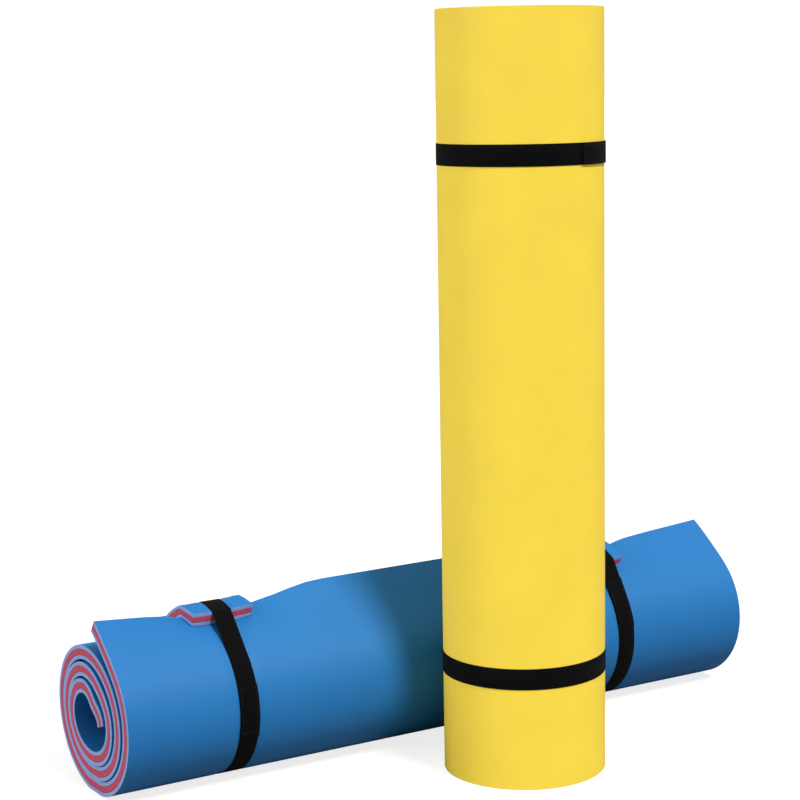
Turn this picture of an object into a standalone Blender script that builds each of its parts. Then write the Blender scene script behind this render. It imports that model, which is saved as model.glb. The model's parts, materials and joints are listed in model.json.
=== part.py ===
"""Two rolled foam swim mats: a blue one lying on its side, and a yellow one standing in front of it.

Each mat is a sheet of three bonded foam plies, wound up on itself. Two straps hold each roll. A strap is
a webbing band whose tab end laps over it and is held by a hook patch on a loop patch. A foam pad lies
between strap and roll, over the sheet's free edge.

Each roll has a section plane with axes x and y, and a length s along the roll. A place on the wound
sheet is a winding angle from the sheet's inner end, and a depth from its outer face.
"""

import math

import bmesh
import bpy
from mathutils import Vector

TURN = math.tau

# The foam sheet
SHEET_LENGTH = 2.75
SHEET_WIDTH = 1.83
SHEET_THICKNESS = 0.035
SKIN_THICKNESS = 0.010
BOND_GAP = 0.0003

# How the sheets are wound
BLUE_START_RADIUS = 0.0735
BLUE_WRAP_GAP = 0.0035
YELLOW_START_RADIUS = 0.0735
YELLOW_WRAP_GAP = 0.0039
SEGMENTS_PER_TURN = 28
TUCK_DEPTH = 0.021
TUCK_ANGLE = math.radians(45)
TUCK_SPREAD = math.radians(38)
TUCK_KEPT_SHARE = 0.55

# What lying on its side does to the blue roll
OVAL = 0.0075
SAG_PER_TURN = 0.0015
END_SLANT = 0.012
FLOOR_PRESS = 0.0024

# The blue sheet's free edge, which stands off the roll away from the straps
FLAP_ANGLE = math.radians(45)
FLAP_POWER = 2.4
FLAP_NEAR_END_RISE = 0.0365
FLAP_MIDDLE_RISE = 0.0505
FLAP_FAR_END_RISE = 0.041
FLAP_STRAP_DIP = 0.0005

# The free edge is at its middle rise this far from a strap. On the way it is at these shares of that
# distance and of that rise, towards the roll's end and towards its middle
FLAP_RETURN = 0.33
TOWARDS_END_SHARES = ((0.195, 0.045), (0.455, 0.40))
TOWARDS_MIDDLE_SHARES = ((0.195, 0.12), (0.57, 0.61), (1.0, 1.0))

# Where each free edge lies in its roll's section plane, and how far the lying roll twists along its length
BLUE_EDGE_ANGLE = math.radians(86.5)
BLUE_TWIST = math.radians(5)
YELLOW_EDGE_ANGLE = math.radians(46)

# Straps
STRAP_WIDTH = 0.0508
STRAP_SKEW = 0.002
WEBBING_THICKNESS = 0.0012
PATCH_THICKNESS = 0.0007
LAP_LENGTH = 0.14
STEP_LENGTH = 0.015
PATCH_INSET = 0.004
TOUCH_GAP = 0.0003
GROOVE_CLEARANCE = 0.0025
GROOVE_RAMP = 0.014
GROOVE_FADE = math.radians(26)

# Foam pads under the straps, which bend down over the free edge's step until they rest on the turn below
PAD_LENGTH = 0.16
PAD_WIDTH = 0.13
PAD_PRESS = 0.0018
PAD_WING_GAP = 0.0007
PAD_FALL_SLOPE = 0.75

# How each pad lies: how much of its width is on the free edge, how far its middle is from the strap's,
# and how far its back edge is from straight behind its front edge
BLUE_NEAR_PAD_OVER_FLAP = 0.05
BLUE_FAR_PAD_OVER_FLAP = 0.105
YELLOW_PAD_OVER_FLAP = 0.058
BLUE_NEAR_PAD_SHIFT = 0.0045
BLUE_FAR_PAD_SHIFT = -0.026
BLUE_NEAR_PAD_SKEW = -0.025

# Where the straps and the yellow roll are
BLUE_NEAR_STRAP = 0.313
BLUE_FAR_STRAP_FROM_END = 0.393
YELLOW_LOWER_STRAP = 0.2708
YELLOW_UPPER_STRAP_FROM_END = 0.334
BLUE_NEAR_TAB_END = math.radians(19.5)
BLUE_FAR_TAB_END = math.radians(46)
YELLOW_LOWER_TAB_END = math.radians(337)
YELLOW_UPPER_TAB_END = math.radians(282.4)
YELLOW_ALONG_BLUE = 0.966

# Points nearer than this are one point
SAME_POINT = 1e-6

# Values worked out from the sizes above
CORE_THICKNESS = SHEET_THICKNESS - 2 * SKIN_THICKNESS - 2 * BOND_GAP
GROOVE_DEPTH = TOUCH_GAP + WEBBING_THICKNESS
GROOVE_HALF_WIDTH = STRAP_WIDTH / 2 + GROOVE_CLEARANCE
PLIES = {
    "outer_skin": (0.0, SKIN_THICKNESS),
    "core": (SKIN_THICKNESS + BOND_GAP, SKIN_THICKNESS + BOND_GAP + CORE_THICKNESS),
    "inner_skin": (SHEET_THICKNESS - SKIN_THICKNESS, SHEET_THICKNESS),
}


def clamp_share(share):
    """A share kept between 0 and 1."""
    return min(1.0, max(0.0, share))


def interpolate(knots, x):
    """Value at x on the straight lines through knots, which are (x, value) in rising order."""
    for (x0, v0), (x1, v1) in zip(knots, knots[1:]):
        if x <= x1:
            share = 0.0 if x1 == x0 else max(0.0, (x - x0) / (x1 - x0))
            return v0 + (v1 - v0) * share
    return knots[-1][1]


def direction(angle):
    """Unit vector at an angle in the section plane."""
    return Vector((math.cos(angle), math.sin(angle)))


def outward_normals(points, closed):
    """Corner normals of a polyline that runs anticlockwise, long enough that moved edges stay parallel."""
    count = len(points)
    edges = []
    for i in range(count if closed else count - 1):
        along = (points[(i + 1) % count] - points[i]).normalized()
        edges.append(Vector((along.y, -along.x)))
    normals = []
    for i in range(count):
        before = edges[i - 1] if closed or i > 0 else edges[0]
        after = edges[i] if closed or i < count - 1 else edges[-1]
        normals.append((before + after) / (1 + before.dot(after)))
    return normals


def convex_hull(points):
    """Corners of the tightest convex outline round the points, anticlockwise, as a taut strap runs."""
    ordered = sorted(points, key=lambda p: (p.x, p.y))

    def half(run):
        kept = []
        for p in run:
            while len(kept) > 1 and (kept[-1] - kept[-2]).cross(p - kept[-2]) <= SAME_POINT**2:
                kept.pop()
            kept.append(p)
        return kept[:-1]

    return half(ordered) + half(reversed(ordered))


class Roll:
    """A wound sheet: where its faces are in its section plane, and how that plane lies in the room."""

    def __init__(self, name, lying, start_radius, wrap_gap, edge_angle, twist, flap_knots, straps):
        self.name = name
        self.lying = lying
        self.twist = twist
        self.start_radius = start_radius
        self.pitch = SHEET_THICKNESS + wrap_gap
        root = math.sqrt(start_radius**2 + 2 * self.pitch * SHEET_LENGTH / TURN)
        self.turns = (root - start_radius) / self.pitch
        self.end = self.turns * TURN
        self.start_angle = edge_angle - self.end
        self.flap_knots = flap_knots
        self.straps = straps
        self.offset = Vector((0.0, 0.0))
        self.windings = self.station_windings()
        self.stations = self.station_lengths()
        self.sections = {s: self.face_line(s) for s in self.stations}
        self.floor = -math.inf
        if lying:
            self.floor = min(p.y for p in self.outline(0.0)) + FLOOR_PRESS

    def station_windings(self):
        """Winding angles of the corners: the inner end, the steps between and the free edge.

        The steps lie half a step off, so that a flat and not a corner faces the floor."""
        step = TURN / SEGMENTS_PER_TURN
        first = step / 2 - self.start_angle % step
        inner = [first + k * step for k in range(int(self.end / step) + 2)]
        inner = [w for w in inner if step / 3 < w < self.end - step / 3]
        return [0.0, *inner, self.end]

    def station_lengths(self):
        """Lengths along the roll at which the free edge or the outer face changes."""
        found = {0.0, SHEET_WIDTH, *(s for s, _ in self.flap_knots)}
        if self.lying:
            for strap in self.straps:
                found |= strap.groove_places()
        return sorted(found)

    def flap_share(self, winding):
        """How much of the free edge's rise reaches a winding angle."""
        past = (winding - self.end + FLAP_ANGLE) / FLAP_ANGLE
        return max(0.0, past) ** FLAP_POWER

    def rise(self, winding, s):
        """How far the sheet stands off the roll near its free edge."""
        if not self.flap_knots:
            return 0.0
        return interpolate(self.flap_knots, s) * self.flap_share(winding)

    def centre_point(self, winding, s):
        """The middle of the sheet's thickness."""
        angle = self.start_angle + winding + self.twist * (s / SHEET_WIDTH - 1 / 2)
        off = (winding - TUCK_ANGLE) / TURN
        turn = round(off)
        spread = math.exp(-(((off - turn) * TURN / TUCK_SPREAD) ** 2))
        tuck = TUCK_DEPTH * TUCK_KEPT_SHARE**turn * spread
        radius = self.start_radius + self.pitch * winding / TURN - tuck + self.rise(winding, s)
        pole = Vector((0.0, 0.0))
        if self.lying:
            radius += OVAL * math.cos(2 * angle)
            pole.y = SAG_PER_TURN * (winding / TURN - self.turns)
        return pole + radius * direction(angle)

    def face_line(self, s):
        """(middle of the sheet, outward normal) at each corner, at a length s along the roll."""
        line = [self.centre_point(w, s) for w in self.windings]
        return list(zip(line, outward_normals(line, closed=False)))

    def groove(self, i, s):
        """How far a strap presses the outer face in."""
        if not self.lying:
            return 0.0
        before_edge = self.end - self.windings[i]
        if before_edge < GROOVE_FADE or before_edge > TURN - GROOVE_FADE:
            return 0.0
        near = min(abs(s - strap.place) for strap in self.straps)
        return GROOVE_DEPTH * (1 - clamp_share((near - GROOVE_HALF_WIDTH) / GROOVE_RAMP))

    def face_point(self, i, depth, s):
        """A corner of the sheet, at a depth from its outer face. On the floor the turns are pressed flat."""
        middle, normal = (self.sections.get(s) or self.face_line(s))[i]
        sunk = depth + (self.groove(i, s) if depth == 0.0 else 0.0)
        point = middle + normal * (SHEET_THICKNESS / 2 - sunk)
        turns_below = int((self.end - self.windings[i]) / TURN)
        point.y = max(point.y, self.floor + turns_below * (SHEET_THICKNESS + TOUCH_GAP) + sunk)
        return point

    def outline(self, s):
        """The corners of the outer face at a length s along the roll."""
        return [self.face_point(i, 0.0, s) for i in range(len(self.windings))]

    def in_room(self, point, s):
        """A section point at length s, in the room."""
        if self.lying:
            return Vector((s + self.offset.x, self.offset.y - point.x, point.y - self.floor))
        return Vector((point.x + self.offset.x, point.y + self.offset.y, s))

    def slant(self, winding):
        """How far the inner turns stick out of the lying roll's near end."""
        return END_SLANT * (1 - winding / self.end) if self.lying else 0.0


class Strap:
    """A strap's place along its roll, where its tab ends and which way round it runs, and its pad's place."""

    def __init__(self, name, place, tab_end, tab_turn, pad_over_flap, pad_shift=0.0, pad_skew=0.0):
        self.name = name
        self.place = place
        self.tab_end = tab_end
        self.tab_turn = tab_turn
        self.pad_over_flap = pad_over_flap
        self.pad_shift = pad_shift
        self.pad_skew = pad_skew

    def groove_places(self):
        """Places along the roll at which the slopes beside the strap begin and end."""
        reaches = (GROOVE_HALF_WIDTH, GROOVE_HALF_WIDTH + GROOVE_RAMP)
        return {self.place + side * reach for side in (-1, 1) for reach in reaches}

    def pad_columns(self, bends, back_share):
        """Places of a pad's two ends at a share of its width, and the bends between them."""
        middle = self.place + self.pad_shift
        low = middle + max(0.0, self.pad_skew) - PAD_LENGTH / 2
        high = middle + min(0.0, self.pad_skew) + PAD_LENGTH / 2
        between = sorted(s for s in self.groove_places() | bends if low < s < high)
        skewed = middle + self.pad_skew * back_share
        return [skewed - PAD_LENGTH / 2, *between, skewed + PAD_LENGTH / 2]


def make_object(name, points, faces, material, pivot=None):
    """A closed object from points in the room. Its origin is its pivot, or the room's origin."""
    pivot = pivot or Vector((0.0, 0.0, 0.0))
    mesh = bpy.data.meshes.new(name)
    mesh.from_pydata([p - pivot for p in points], [], faces)
    work = bmesh.new()
    work.from_mesh(mesh)
    bmesh.ops.remove_doubles(work, verts=work.verts, dist=SAME_POINT)
    bmesh.ops.recalc_face_normals(work, faces=work.faces)
    work.to_mesh(mesh)
    work.free()
    mesh.materials.append(material)
    made = bpy.data.objects.new(name, mesh)
    made.location = pivot
    bpy.context.scene.collection.objects.link(made)
    return made


def make_material(name, colour, roughness):
    """A plain surface of one colour."""
    made = bpy.data.materials.new(name)
    made.use_nodes = True
    shader = made.node_tree.nodes["Principled BSDF"]
    shader.inputs["Base Color"].default_value = (*colour, 1.0)
    shader.inputs["Roughness"].default_value = roughness
    shader.inputs["Metallic"].default_value = 0.0
    return made


def join_rows(first, second, falling=None):
    """Triangles between two rows of point numbers, of like length or with one row of only two.

    falling(k) says whether cell k is cut from its second row's start to its first row's end."""
    if len(first) == len(second):
        faces = []
        for k in range(len(first) - 1):
            a, b, c, d = first[k], first[k + 1], second[k + 1], second[k]
            if falling and falling(k):
                faces += [(a, b, d), (b, c, d)]
            else:
                faces += [(a, b, c), (a, c, d)]
        return faces
    if len(first) > len(second):
        return [face[::-1] for face in join_rows(second, first)]
    half = len(second) // 2
    faces = [(first[0], second[k + 1], second[k]) for k in range(half)]
    faces += [(first[-1], second[k + 1], second[k]) for k in range(half, len(second) - 1)]
    return [*faces, (first[0], first[-1], second[half])]


def make_ply(roll, ply, material):
    """One foam ply of a wound sheet, as a closed strip with flat cut ends."""
    outer_depth, inner_depth = PLIES[ply]
    points = []
    rows = {}
    last_turn = roll.end - TURN
    flap_start = roll.end - FLAP_ANGLE - TURN / SEGMENTS_PER_TURN
    for side, depth in (("outer", outer_depth), ("inner", inner_depth)):
        rows[side] = []
        for i, winding in enumerate(roll.windings):
            on_flap = roll.flap_knots and winding > flap_start
            in_groove = roll.lying and depth == 0.0 and winding > last_turn
            lengths = roll.stations if on_flap or in_groove else [0.0, SHEET_WIDTH]
            row = []
            for s in lengths:
                row.append(len(points))
                points.append(roll.in_room(roll.face_point(i, depth, s), s - roll.slant(winding)))
            rows[side].append(row)

    def cut_low(i, depth):
        """Cuts a cell along the diagonal that lies nearer the roll, or a flat cell along the twist."""

        def height(row, k):
            s = roll.stations[k]
            sunk = roll.groove(row, s) if depth == 0.0 else 0.0
            return roll.rise(roll.windings[row], s) - sunk

        def falling(k):
            rising = height(i, k) + height(i + 1, k + 1)
            sinking = height(i, k + 1) + height(i + 1, k)
            return sinking < rising or (sinking == rising and roll.twist > 0)

        return falling

    faces = []
    for i in range(len(roll.windings) - 1):
        outer, outer_next = rows["outer"][i], rows["outer"][i + 1]
        inner, inner_next = rows["inner"][i], rows["inner"][i + 1]
        faces += join_rows(outer, outer_next, cut_low(i, outer_depth))
        faces += [face[::-1] for face in join_rows(inner, inner_next, cut_low(i, inner_depth))]
        faces.append((outer[0], outer_next[0], inner_next[0], inner[0]))
        faces.append((outer[-1], inner[-1], inner_next[-1], outer_next[-1]))
    for i in (0, len(roll.windings) - 1):
        faces += join_rows(rows["outer"][i], rows["inner"][i])
    return make_object(f"{roll.name}_mat_{ply}", points, faces, material)


def pad_windings(roll, strap):
    """The winding angles of a pad's rows: its front and back, and the corners of the roll under it."""
    radius = roll.face_point(-1, 0.0, strap.place).length
    front = roll.end - strap.pad_over_flap / radius
    back = front + PAD_WIDTH / radius
    corners = {w for w in roll.windings if front < w}
    corners |= {w + TURN for w in roll.windings if roll.end < w + TURN < back}
    return [front, *sorted(corners), back]


def on_section(roll, winding, s):
    """The roll's outer face at a winding angle."""
    for i in range(len(roll.windings) - 1):
        low, high = roll.windings[i], roll.windings[i + 1]
        if low <= winding <= high:
            share = (winding - low) / (high - low)
            return roll.face_point(i, 0.0, s).lerp(roll.face_point(i + 1, 0.0, s), share)
    raise ValueError("the sheet doesn't reach this winding angle")


def pad_line(roll, windings, s):
    """(point, outward normal) on a pad's underside: on the flap, and then falling to the turn below."""
    edge = roll.face_point(-1, 0.0, s)
    line = []
    for winding in windings:
        past = winding - roll.end
        if past <= 0:
            line.append(on_section(roll, winding, s))
        else:
            below = on_section(roll, winding - TURN, s)
            radius = max(below.length, edge.length * (1 - PAD_FALL_SLOPE * past))
            line.append(radius * below.normalized())
    return list(zip(line, outward_normals(line, closed=False)))


def make_pad_ply(roll, strap, ply, material):
    """One foam ply of the pad under a strap, which is pressed in by the strap and stands off beside it."""
    windings = pad_windings(roll, strap)
    bends = {s for s, _ in roll.flap_knots}
    outer_depth, inner_depth = PLIES[ply]
    points = []
    rows = {"outer": [], "inner": []}
    for i, winding in enumerate(windings):
        back_share = (winding - windings[0]) / (windings[-1] - windings[0])
        columns = strap.pad_columns(bends, back_share)
        for side, depth in (("outer", outer_depth), ("inner", inner_depth)):
            row = []
            for s in columns:
                base, normal = pad_line(roll, windings, s)[i]
                beside = abs(s - strap.place) - GROOVE_HALF_WIDTH
                wing = clamp_share(beside / (PAD_LENGTH / 2 - GROOVE_HALF_WIDTH))
                lift = TOUCH_GAP + SHEET_THICKNESS - depth + PAD_WING_GAP * wing
                if depth == 0.0:
                    lift -= PAD_PRESS * (1 - clamp_share(beside / GROOVE_RAMP))
                row.append(len(points))
                points.append(roll.in_room(base + normal * lift, s))
            rows[side].append(row)
    faces = []
    for i in range(len(windings) - 1):
        outer, outer_next = rows["outer"][i], rows["outer"][i + 1]
        inner, inner_next = rows["inner"][i], rows["inner"][i + 1]
        faces += join_rows(outer, outer_next)
        faces += [face[::-1] for face in join_rows(inner, inner_next)]
        faces.append((outer[0], outer_next[0], inner_next[0], inner[0]))
        faces.append((outer[-1], inner[-1], inner_next[-1], outer_next[-1]))
    for i in (0, len(windings) - 1):
        faces += join_rows(rows["outer"][i], rows["inner"][i])
    return make_object(f"{roll.name}_{strap.name}_pad_{ply}", points, faces, material)


class StrapPath:
    """The taut line that a strap follows round its roll and pad, and points beside it."""

    def __init__(self, roll, strap):
        last_turn = sum(w >= roll.end - TURN for w in roll.windings)
        bound = roll.outline(strap.place)[-last_turn:]
        pad_top = TOUCH_GAP + SHEET_THICKNESS - PAD_PRESS
        for point, normal in pad_line(roll, pad_windings(roll, strap), strap.place):
            bound.append(point + normal * pad_top)
        self.corners = convex_hull(bound)
        self.normals = outward_normals(self.corners, closed=True)
        self.lengths = [0.0]
        for i, corner in enumerate(self.corners):
            following = self.corners[(i + 1) % len(self.corners)]
            self.lengths.append(self.lengths[-1] + (following - corner).length)
        self.girth = self.lengths[-1]

    def at_angle(self, angle):
        """The distance along the path at which it crosses an angle of the section plane."""
        ray = direction(angle)
        for i, corner in enumerate(self.corners):
            following = self.corners[(i + 1) % len(self.corners)]
            if ray.cross(corner) <= 0 < ray.cross(following) and ray.dot(corner) > 0:
                share = -ray.cross(corner) / (ray.cross(following) - ray.cross(corner))
                return self.lengths[i] + share * (self.lengths[i + 1] - self.lengths[i])
        raise ValueError("the strap's path doesn't go round the roll")

    def point(self, distance, offset):
        """A point at a distance along the path, moved out by an offset."""
        distance %= self.girth
        i = max(k for k, length in enumerate(self.lengths[:-1]) if length <= distance)
        share = (distance - self.lengths[i]) / (self.lengths[i + 1] - self.lengths[i])
        j = (i + 1) % len(self.corners)
        low = self.corners[i] + self.normals[i] * offset
        return low.lerp(self.corners[j] + self.normals[j] * offset, share)

    def distances(self, low, high):
        """The ends of a stretch and the path's corners between them."""
        merge = TOUCH_GAP
        between = [
            length + self.girth * turn
            for turn in (-1, 0, 1)
            for length in self.lengths[:-1]
            if low + merge < length + self.girth * turn < high - merge
        ]
        return [low, *sorted(between), high]


def make_ribbon(name, roll, path, stretch, offsets, centre, width, material, pivot=None):
    """A flat strip along the strap's path. offsets and centre are functions of the distance along it."""
    points = []
    rows = {"outer": [], "inner": []}
    for distance in stretch:
        low, high = offsets(distance)
        for side, offset in (("outer", high), ("inner", low)):
            row = []
            for edge in (-width / 2, width / 2):
                row.append(len(points))
                points.append(roll.in_room(path.point(distance, offset), centre(distance) + edge))
            rows[side].append(row)
    faces = []
    for i in range(len(stretch) - 1):
        outer, outer_next = rows["outer"][i], rows["outer"][i + 1]
        inner, inner_next = rows["inner"][i], rows["inner"][i + 1]
        faces.append((*outer, *outer_next[::-1]))
        faces.append((*inner[::-1], *inner_next))
        faces.append((outer[0], outer_next[0], inner_next[0], inner[0]))
        faces.append((outer[1], inner[1], inner_next[1], outer_next[1]))
    for i in (0, -1):
        faces.append((*rows["outer"][i], *rows["inner"][i][::-1]))
    return make_object(name, points, faces, material, pivot)


def make_strap(roll, strap, webbing, patch):
    """A strap's band, its tab, and the two patches that hold the tab on the band."""
    path = StrapPath(roll, strap)
    end = path.at_angle(strap.tab_end)
    turn = strap.tab_turn
    root = end - turn * LAP_LENGTH
    step = root + turn * STEP_LENGTH
    prefix = f"{roll.name}_{strap.name}_strap"
    band_top = TOUCH_GAP + WEBBING_THICKNESS
    loop_top = band_top + TOUCH_GAP + PATCH_THICKNESS
    hook_top = loop_top + TOUCH_GAP + PATCH_THICKNESS
    tab_low = hook_top + TOUCH_GAP

    def stretch(start, stop):
        return path.distances(min(start, stop), max(start, stop))

    def tab_offsets(distance):
        up = min(1.0, abs(distance - root) / STEP_LENGTH)
        low = TOUCH_GAP + (tab_low - TOUCH_GAP) * up
        return low, low + WEBBING_THICKNESS

    def band_centre(distance):
        """The band runs slightly askew, so its two ends pass beside each other."""
        return strap.place + STRAP_SKEW * (abs(distance - step) / path.girth - 1 / 2)

    def tab_centre(distance):
        return strap.place + STRAP_SKEW / 2

    def level(low, thickness):
        return lambda distance: (low, low + thickness)

    pivot = roll.in_room(path.point(root, band_top), strap.place)
    butt = turn * TOUCH_GAP
    make_ribbon(
        f"{prefix}_band",
        roll,
        path,
        stretch(step + butt, root - butt + turn * path.girth),
        level(TOUCH_GAP, WEBBING_THICKNESS),
        band_centre,
        STRAP_WIDTH,
        webbing,
    )
    make_ribbon(
        f"{prefix}_loop_patch",
        roll,
        path,
        stretch(step + turn * PATCH_INSET, end - turn * PATCH_INSET / 2),
        level(band_top + TOUCH_GAP, PATCH_THICKNESS),
        tab_centre,
        STRAP_WIDTH - PATCH_INSET,
        patch,
    )
    make_ribbon(
        f"{prefix}_hook_patch",
        roll,
        path,
        stretch(step + turn * 2 * PATCH_INSET, end - turn * PATCH_INSET),
        level(loop_top + TOUCH_GAP, PATCH_THICKNESS),
        tab_centre,
        STRAP_WIDTH - PATCH_INSET,
        patch,
        pivot,
    )
    make_ribbon(
        f"{prefix}_tab",
        roll,
        path,
        sorted({*stretch(root, end), step}),
        tab_offsets,
        tab_centre,
        STRAP_WIDTH,
        webbing,
        pivot,
    )


def make_roll(roll, colours):
    """A whole roll: its mat, its pads and its straps."""
    for ply in PLIES:
        make_ply(roll, ply, colours[ply])
        for strap in roll.straps:
            make_pad_ply(roll, strap, ply, colours[ply])
    for strap in roll.straps:
        make_strap(roll, strap, colours["webbing"], colours["patch"])


def blue_flap_knots(near, far):
    """How far the blue mat's free edge stands off the roll, along its length and between its straps."""
    knots = [(0.0, FLAP_NEAR_END_RISE), (SHEET_WIDTH, FLAP_FAR_END_RISE)]
    for strap, outwards in ((near, -1), (far, 1)):
        knots.append((strap - GROOVE_HALF_WIDTH, -FLAP_STRAP_DIP))
        knots.append((strap + GROOVE_HALF_WIDTH, -FLAP_STRAP_DIP))
        for side, shares in ((outwards, TOWARDS_END_SHARES), (-outwards, TOWARDS_MIDDLE_SHARES)):
            for distance_share, rise_share in shares:
                knots.append((strap + side * FLAP_RETURN * distance_share, FLAP_MIDDLE_RISE * rise_share))
    return sorted(knots)


def centre_on_floor():
    """Carries all objects on one empty, so that the origin is under the middle of the whole set."""
    corners = []
    for made in bpy.context.scene.objects:
        corners += [made.location + v.co for v in made.data.vertices]
    low = [min(c[k] for c in corners) for k in range(3)]
    high = [max(c[k] for c in corners) for k in range(3)]
    set_place = bpy.data.objects.new("set_place", None)
    set_place.location = (-(low[0] + high[0]) / 2, -(low[1] + high[1]) / 2, -low[2])
    for made in list(bpy.context.scene.objects):
        made.parent = set_place
    bpy.context.scene.collection.objects.link(set_place)


def main():
    for old in list(bpy.data.objects):
        bpy.data.objects.remove(old)
    red_foam = make_material("red_foam", (0.50, 0.07, 0.12), 0.75)
    blue_foam = make_material("blue_foam", (0.03, 0.15, 0.46), 0.6)
    yellow_foam = make_material("yellow_foam", (0.84, 0.60, 0.05), 0.6)
    webbing = make_material("black_webbing", (0.008, 0.008, 0.008), 0.8)
    patch = make_material("black_patch", (0.012, 0.012, 0.012), 0.9)

    near, far = BLUE_NEAR_STRAP, SHEET_WIDTH - BLUE_FAR_STRAP_FROM_END
    blue = Roll(
        "blue",
        True,
        BLUE_START_RADIUS,
        BLUE_WRAP_GAP,
        BLUE_EDGE_ANGLE,
        BLUE_TWIST,
        blue_flap_knots(near, far),
        [
            Strap(
                "near",
                near,
                BLUE_NEAR_TAB_END,
                1,
                BLUE_NEAR_PAD_OVER_FLAP,
                BLUE_NEAR_PAD_SHIFT,
                BLUE_NEAR_PAD_SKEW,
            ),
            Strap("far", far, BLUE_FAR_TAB_END, 1, BLUE_FAR_PAD_OVER_FLAP, BLUE_FAR_PAD_SHIFT),
        ],
    )
    upper = SHEET_WIDTH - YELLOW_UPPER_STRAP_FROM_END
    yellow = Roll(
        "yellow",
        False,
        YELLOW_START_RADIUS,
        YELLOW_WRAP_GAP,
        YELLOW_EDGE_ANGLE,
        0.0,
        [],
        [
            Strap("lower", YELLOW_LOWER_STRAP, YELLOW_LOWER_TAB_END, -1, YELLOW_PAD_OVER_FLAP),
            Strap("upper", upper, YELLOW_UPPER_TAB_END, -1, YELLOW_PAD_OVER_FLAP),
        ],
    )
    lower_strap = yellow.straps[0]
    pad_top = TOUCH_GAP + SHEET_THICKNESS + PAD_WING_GAP
    lower_pad = pad_line(yellow, pad_windings(yellow, lower_strap), lower_strap.place)
    pad_reach = max((p + normal * pad_top).y for p, normal in lower_pad)
    blue.offset = Vector((-YELLOW_ALONG_BLUE, max(p.x for p in blue.outline(YELLOW_ALONG_BLUE))))
    across = [p.x for p in yellow.outline(0.0)]
    yellow.offset = Vector((-(min(across) + max(across)) / 2, -pad_reach - TOUCH_GAP))
    strapping = {"webbing": webbing, "patch": patch}
    make_roll(blue, {"outer_skin": blue_foam, "core": red_foam, "inner_skin": blue_foam, **strapping})
    make_roll(yellow, {"outer_skin": yellow_foam, "core": red_foam, "inner_skin": yellow_foam, **strapping})
    centre_on_floor()


if __name__ == "__main__":
    main()
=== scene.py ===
"""Two rolled foam swim mats: a blue one lying on its side, and a yellow one standing in front of it.

The mats are flat sheets of three bonded foam plies that a node tree winds up. The pads and straps are then
laid on the finished rolls, by measuring them: a pad lies on the sheet's free edge, a strap runs taut round
roll and pad, and its tab laps over it.

A roll's section plane has axes x and y and a length along the roll. The lying roll's section x points to
the front of the room and its y points up. The standing roll's are the room's own.
"""

import json
import math
from functools import partial

import bmesh
import bpy
from bpy.props import FloatProperty, FloatVectorProperty, IntProperty, PointerProperty
from mathutils import Matrix, Vector
from mathutils.bvhtree import BVHTree


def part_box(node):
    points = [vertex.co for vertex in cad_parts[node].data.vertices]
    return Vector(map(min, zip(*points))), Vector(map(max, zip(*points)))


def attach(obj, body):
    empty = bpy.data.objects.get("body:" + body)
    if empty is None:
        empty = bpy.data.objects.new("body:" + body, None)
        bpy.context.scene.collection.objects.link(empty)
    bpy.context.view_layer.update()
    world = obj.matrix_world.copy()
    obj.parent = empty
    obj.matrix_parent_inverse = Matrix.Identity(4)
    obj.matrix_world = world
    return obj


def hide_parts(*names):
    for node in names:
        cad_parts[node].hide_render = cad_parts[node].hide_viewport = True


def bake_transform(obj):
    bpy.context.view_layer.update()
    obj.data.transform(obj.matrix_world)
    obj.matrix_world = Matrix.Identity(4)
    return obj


bl_info = {
    "name": "Rolled swim mats",
    "version": (1, 0, 0),
    "blender": (4, 5, 0),
    "location": "3D View > Sidebar > Swim mats",
    "description": "Winds two foam float mats and straps them up",
    "category": "Add Mesh",
}

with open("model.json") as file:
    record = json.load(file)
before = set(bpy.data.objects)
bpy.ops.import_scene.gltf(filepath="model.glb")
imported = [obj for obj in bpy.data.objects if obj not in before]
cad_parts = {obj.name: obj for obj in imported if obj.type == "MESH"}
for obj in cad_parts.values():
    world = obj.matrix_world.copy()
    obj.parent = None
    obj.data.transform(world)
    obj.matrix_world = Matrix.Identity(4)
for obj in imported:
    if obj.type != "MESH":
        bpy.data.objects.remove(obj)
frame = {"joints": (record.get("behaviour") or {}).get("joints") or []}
# Blender's start-up objects aren't part of the set, nor of its box
for start_up in ("Cube", "Light", "Camera"):
    if start_up in bpy.data.objects:
        bpy.data.objects.remove(bpy.data.objects[start_up])
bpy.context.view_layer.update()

TURN = math.tau
VECTOR_MATH = "ShaderNodeVectorMath"
STRAPS = {"blue": ("near", "far"), "yellow": ("lower", "upper")}
STRAP_BODIES = {
    "near": ("blue_mat", "blue_near_tab"),
    "far": ("blue_mat", "blue_far_tab"),
    "lower": ("yellow_lower_strap", "yellow_lower_tab"),
    "upper": ("yellow_upper_strap", "yellow_upper_tab"),
}
# How the blue free edge rises beside a strap, as shares of the flap's return and of its middle rise
TOWARDS_END_SHARES = ((0.195, 0.045), (0.455, 0.40))
TOWARDS_MIDDLE_SHARES = ((0.195, 0.12), (0.57, 0.61), (1.0, 1.0))

# Points nearer than this are one, in a finished mesh and in a flat ply before it is wound
SAME_POINT = 1e-6
WELD_REACH = 1e-4
# Edges that turn more than this are cut edges
SHARP_ANGLE = math.radians(50)
BEVEL_SEGMENTS = 2
# Rows of faces across a flat ply, and how many times finer they are near the straps
PLY_ROWS = 40
FINER_OUTER_ROWS = 6
FINER_INNER_ROWS = 3
# How much of the first turn the slanted cut reaches, and how far apart the line is felt for its direction
TIP_REACH = 0.12
FEELER = 0.001
# Faces of a pad round the roll and along it, and over how many rows to each side its bend is spread
PAD_ROWS = 24
PAD_COLUMNS = 46
PAD_BEND = 6
# Surely on the free edge and not behind it
EDGE_MARGIN = math.radians(0.6)
# Places along a roll are told apart to this many decimals of a metre
PLACE_DIGITS = 4
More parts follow.
